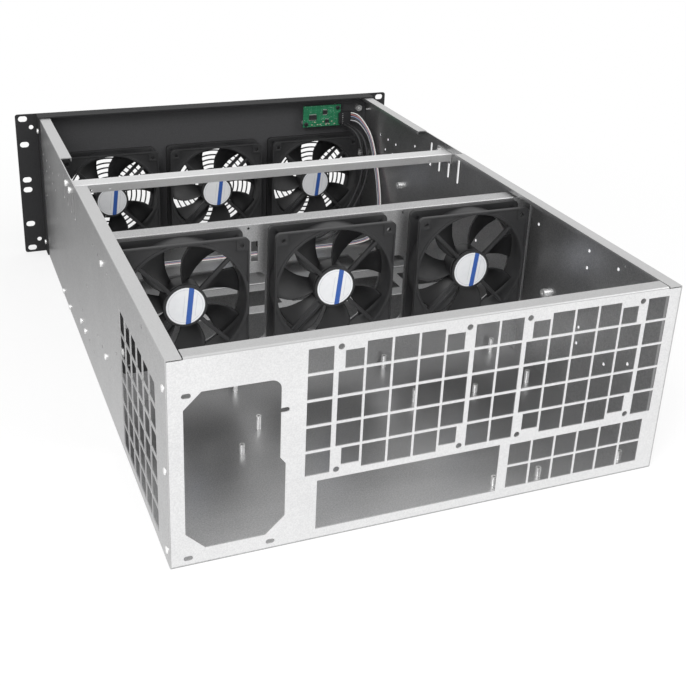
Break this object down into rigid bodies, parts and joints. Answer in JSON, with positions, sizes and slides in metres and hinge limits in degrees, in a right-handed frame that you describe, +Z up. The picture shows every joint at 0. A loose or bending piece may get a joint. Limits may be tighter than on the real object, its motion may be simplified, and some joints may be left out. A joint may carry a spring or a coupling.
{
  "type": "rack-mount mining rig frame",
  "caption": "Open rack-mount mining rig frame in bright steel with a black front panel, spinning fans, vent grids, riser trays and an adjustable hold-down bar.",
  "frame": {"origin": "middle of the footprint on the bottom face", "axes": "+Z up, front panel faces -Y, rear vents face +Y, +X is the left of the picture"},
  "size_m": [0.4826, 0.652, 0.1765],
  "materials": {
    "black_paint": "fine black powder coat",
    "black_screw": "black oxide",
    "board_green": "green solder mask",
    "bright_steel": "bright plated steel",
    "cable_sleeve": "black braided sleeve",
    "fan_plastic": "moulded black plastic with a low sheen",
    "label_white": "printed paper label, plain white with one blue band",
    "lamp_clear": "clear lamp lens",
    "motor_core": "stacked steel plates",
    "plug_plastic": "black moulded plastic",
    "wire_black": "black insulation",
    "wire_blue": "blue insulation",
    "wire_grey": "grey insulation",
    "wire_red": "red insulation",
    "wire_white": "white insulation",
    "zinc_steel": "bright zinc-coated steel sheet with a faint cloudy grain"
  },
  "bodies": {
    "frame": {"board_screws": "black_screw", "board_spacers": "bright_steel", "chassis_pan": "zinc_steel", "control_board": "board_green", "fan_labels": "label_white", "fan_stators": "motor_core", "fan_wall": "zinc_steel", "fan_wall_screws": "bright_steel", "front_fan_frame_1": "fan_plastic", "front_fan_frame_2": "fan_plastic", "front_fan_frame_3": "fan_plastic", "front_fan_screws": "black_screw", "front_panel": "black_paint", "header_plug": "plug_plastic", "indicator_lamps": "lamp_clear", "lead_plugs": "plug_plastic", "mid_fan_frame_1": "fan_plastic", "mid_fan_frame_2": "fan_plastic", "mid_fan_frame_3": "fan_plastic", "mid_fan_screws": "black_screw", "panel_nuts": "bright_steel", "panel_screws": "bright_steel", "pin_header": "plug_plastic", "rail_nuts": "bright_steel", "rear_panel": "zinc_steel", "rear_rivets": "bright_steel", "riser_tray_front": "zinc_steel", "riser_tray_rear": "zinc_steel", "short_posts": "bright_steel", "signal_wire_black": "wire_black", "signal_wire_blue": "wire_blue", "signal_wire_grey": "wire_grey", "signal_wire_red": "wire_red", "signal_wire_white": "wire_white", "sleeved_cable_1": "cable_sleeve", "sleeved_cable_2": "cable_sleeve", "sleeved_cable_plugs": "plug_plastic", "switch_bodies": "plug_plastic", "tall_posts": "bright_steel", "tray_screws": "bright_steel"},
    "hold_down_bar": {"hold_down_bar": "zinc_steel", "bar_screws": "bright_steel", "bar_nuts": "bright_steel"},
    "power_button": {"power_button": "plug_plastic"},
    "reset_button": {"reset_button": "plug_plastic"},
    "front_fan_rotor_1": {"front_fan_rotor_1": "fan_plastic"},
    "front_fan_rotor_2": {"front_fan_rotor_2": "fan_plastic"},
    "front_fan_rotor_3": {"front_fan_rotor_3": "fan_plastic"},
    "mid_fan_rotor_1": {"mid_fan_rotor_1": "fan_plastic"},
    "mid_fan_rotor_2": {"mid_fan_rotor_2": "fan_plastic"},
    "mid_fan_rotor_3": {"mid_fan_rotor_3": "fan_plastic"}
  },
  "joints": [
    {"name": "bar_height", "type": "slide", "parent": "frame", "child": "hold_down_bar", "axis": [0, 0, 1], "range_m": [-0.0222, 0.0022]},
    {"name": "power_button_press", "type": "slide", "parent": "frame", "child": "power_button", "axis": [0, 1, 0], "range_m": [0, 0.0015], "stiffness_N_per_m": 250, "springref_m": -0.002},
    {"name": "reset_button_press", "type": "slide", "parent": "frame", "child": "reset_button", "axis": [0, 1, 0], "range_m": [0, 0.0015], "stiffness_N_per_m": 250, "springref_m": -0.002},
    {"name": "front_fan_spin_1", "type": "hinge", "parent": "frame", "child": "front_fan_rotor_1", "pos_m": [0.135, -0.31, 0.066], "axis": [0, 1, 0], "continuous": true},
    {"name": "front_fan_spin_2", "type": "hinge", "parent": "frame", "child": "front_fan_rotor_2", "pos_m": [0, -0.31, 0.066], "axis": [0, 1, 0], "continuous": true},
    {"name": "front_fan_spin_3", "type": "hinge", "parent": "frame", "child": "front_fan_rotor_3", "pos_m": [-0.135, -0.31, 0.066], "axis": [0, 1, 0], "continuous": true},
    {"name": "mid_fan_spin_1", "type": "hinge", "parent": "frame", "child": "mid_fan_rotor_1", "pos_m": [0.145, 0.0949, 0.1067], "axis": [0, 1, 0], "continuous": true},
    {"name": "mid_fan_spin_2", "type": "hinge", "parent": "frame", "child": "mid_fan_rotor_2", "pos_m": [0, 0.0949, 0.1067], "axis": [0, 1, 0], "continuous": true},
    {"name": "mid_fan_spin_3", "type": "hinge", "parent": "frame", "child": "mid_fan_rotor_3", "pos_m": [-0.145, 0.0949, 0.1067], "axis": [0, 1, 0], "continuous": true}
  ]
}
